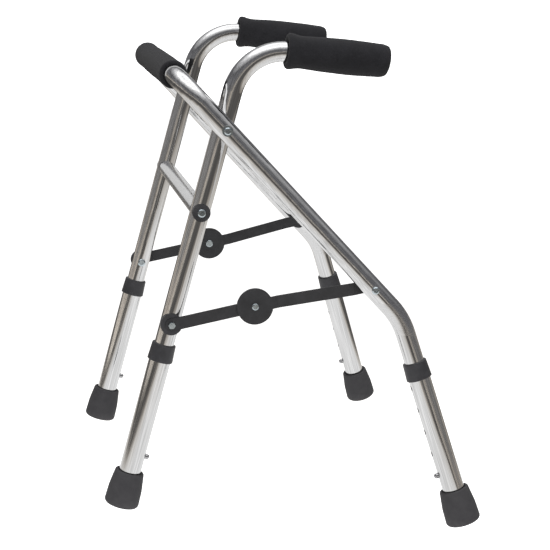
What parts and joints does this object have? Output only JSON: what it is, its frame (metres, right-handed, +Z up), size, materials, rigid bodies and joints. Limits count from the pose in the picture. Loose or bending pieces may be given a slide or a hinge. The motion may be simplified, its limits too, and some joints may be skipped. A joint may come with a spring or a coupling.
{
  "type": "walking frame",
  "caption": "Folding aluminium walking frame with foam-covered handles and top bar, hinged side stays and height-adjustable legs on flared rubber feet.",
  "frame": {"origin": "on the floor, under the middle of the frame's bounding box", "axes": "+X to the rear, where the user stands between the two sides; +Y to the user's right when facing the frame's front bar; +Z up"},
  "size_m": [0.4769, 0.6262, 0.6189],
  "materials": {
    "polished_tube": "polished and anodised, bright, with faint drawing streaks",
    "satin_tube": "satin anodised",
    "foam": "matt closed-cell foam",
    "ferrule_rubber": "moulded, slightly dusty matt",
    "black_plastic": "satin moulding",
    "black_strip": "satin black coating on steel strip",
    "zinc_steel": "bright zinc plating",
    "button_steel": "polished",
    "spring_steel": "blued spring strip"
  },
  "bodies": {
    "front_frame": {"front_tube_left": "polished_tube", "front_tube_right": "polished_tube", "handle_grip_left": "foam", "handle_grip_right": "foam", "crossbar": "satin_tube", "crossbar_plugs": "black_plastic", "crossbar_saddles": "black_plastic", "crossbar_bolts": "zinc_steel", "pivot_bolts": "zinc_steel", "pivot_nuts": "zinc_steel", "pivot_spacers": "black_plastic", "stay_front_bolts": "zinc_steel", "stay_front_nuts": "zinc_steel", "stay_front_saddles": "black_plastic", "snap_spring_front_left": "spring_steel", "snap_spring_front_right": "spring_steel"},
    "rear_frame": {"rear_tube": "polished_tube", "bar_grip": "foam", "pivot_washers": "zinc_steel", "stay_rear_bolts": "zinc_steel", "stay_rear_nuts": "zinc_steel", "stay_rear_saddles": "black_plastic", "snap_spring_rear_left": "spring_steel", "snap_spring_rear_right": "spring_steel"},
    "front_arm_left": {"stay_front_arm_left": "black_strip", "stay_rivet_back_left": "zinc_steel"},
    "rear_arm_left": {"stay_rear_arm_left": "black_strip", "stay_rivet_left": "zinc_steel"},
    "front_arm_right": {"stay_front_arm_right": "black_strip", "stay_rivet_back_right": "zinc_steel"},
    "rear_arm_right": {"stay_rear_arm_right": "black_strip", "stay_rivet_right": "zinc_steel"},
    "leg_front_left": {"leg_tube_front_left": "polished_tube", "leg_collar_front_left": "black_plastic", "ferrule_front_left": "ferrule_rubber", "ferrule_washer_front_left": "zinc_steel"},
    "button_front_left": {"snap_button_front_left": "button_steel"},
    "leg_rear_left": {"leg_tube_rear_left": "polished_tube", "leg_collar_rear_left": "black_plastic", "ferrule_rear_left": "ferrule_rubber", "ferrule_washer_rear_left": "zinc_steel"},
    "button_rear_left": {"snap_button_rear_left": "button_steel"},
    "leg_front_right": {"leg_tube_front_right": "polished_tube", "leg_collar_front_right": "black_plastic", "ferrule_front_right": "ferrule_rubber", "ferrule_washer_front_right": "zinc_steel"},
    "button_front_right": {"snap_button_front_right": "button_steel"},
    "leg_rear_right": {"leg_tube_rear_right": "polished_tube", "leg_collar_rear_right": "black_plastic", "ferrule_rear_right": "ferrule_rubber", "ferrule_washer_rear_right": "zinc_steel"},
    "button_rear_right": {"snap_button_rear_right": "button_steel"}
  },
  "joints": [
    {"name": "fold", "type": "hinge", "parent": "front_frame", "child": "rear_frame", "pos_m": [-0.102, 0, 0.49992], "axis": [0, 1, 0], "range_deg": [0, 32.5]},
    {"name": "front_arm_swing_left", "type": "hinge", "parent": "front_frame", "child": "front_arm_left", "pos_m": [-0.16048, -0.212, 0.24863], "axis": [0, -1, 0], "range_deg": [0, 61.28]},
    {"name": "rear_arm_swing_left", "type": "hinge", "parent": "rear_frame", "child": "rear_arm_left", "pos_m": [0.08892, -0.2374, 0.30699], "axis": [0, 1, 0], "range_deg": [0, 34.7]},
    {"name": "front_arm_swing_right", "type": "hinge", "parent": "front_frame", "child": "front_arm_right", "pos_m": [-0.16048, 0.212, 0.24863], "axis": [0, -1, 0], "range_deg": [0, 61.28]},
    {"name": "rear_arm_swing_right", "type": "hinge", "parent": "rear_frame", "child": "rear_arm_right", "pos_m": [0.08892, 0.2374, 0.30699], "axis": [0, 1, 0], "range_deg": [0, 34.7]},
    {"name": "leg_slide_front_left", "type": "slide", "parent": "front_frame", "child": "leg_front_left", "axis": [-0.2267, 0, -0.974], "range_m": [0, 0.12], "deforming": ["snap_spring_front_left", "snap_button_front_left"]},
    {"name": "button_press_front_left", "type": "slide", "parent": "front_frame", "child": "button_front_left", "axis": [-0.974, 0, 0.2267], "range_m": [0, 0.0073], "stiffness_N_per_m": 1500, "deforming": ["snap_spring_front_left"]},
    {"name": "leg_slide_rear_left", "type": "slide", "parent": "rear_frame", "child": "leg_rear_left", "axis": [0.3301, -0.1115, -0.9373], "range_m": [0, 0.12], "deforming": ["snap_spring_rear_left", "snap_button_rear_left"]},
    {"name": "button_press_rear_left", "type": "slide", "parent": "rear_frame", "child": "button_rear_left", "axis": [0.9439, 0.039, 0.3278], "range_m": [0, 0.0073], "stiffness_N_per_m": 1500, "deforming": ["snap_spring_rear_left"]},
    {"name": "leg_slide_front_right", "type": "slide", "parent": "front_frame", "child": "leg_front_right", "axis": [-0.2267, 0, -0.974], "range_m": [0, 0.12], "deforming": ["snap_spring_front_right", "snap_button_front_right"]},
    {"name": "button_press_front_right", "type": "slide", "parent": "front_frame", "child": "button_front_right", "axis": [-0.974, 0, 0.2267], "range_m": [0, 0.0073], "stiffness_N_per_m": 1500, "deforming": ["snap_spring_front_right"]},
    {"name": "leg_slide_rear_right", "type": "slide", "parent": "rear_frame", "child": "leg_rear_right", "axis": [0.3301, 0.1115, -0.9373], "range_m": [0, 0.12], "deforming": ["snap_spring_rear_right", "snap_button_rear_right"]},
    {"name": "button_press_rear_right", "type": "slide", "parent": "rear_frame", "child": "button_rear_right", "axis": [0.9439, -0.039, 0.3278], "range_m": [0, 0.0073], "stiffness_N_per_m": 1500, "deforming": ["snap_spring_rear_right"]}
  ],
  "couplings": [
    {"joint": "front_arm_swing_left", "follows": "fold", "ratio": 1.8841},
    {"joint": "rear_arm_swing_left", "follows": "fold", "ratio": 1.066},
    {"joint": "front_arm_swing_right", "follows": "fold", "ratio": 1.8841},
    {"joint": "rear_arm_swing_right", "follows": "fold", "ratio": 1.066}
  ]
}
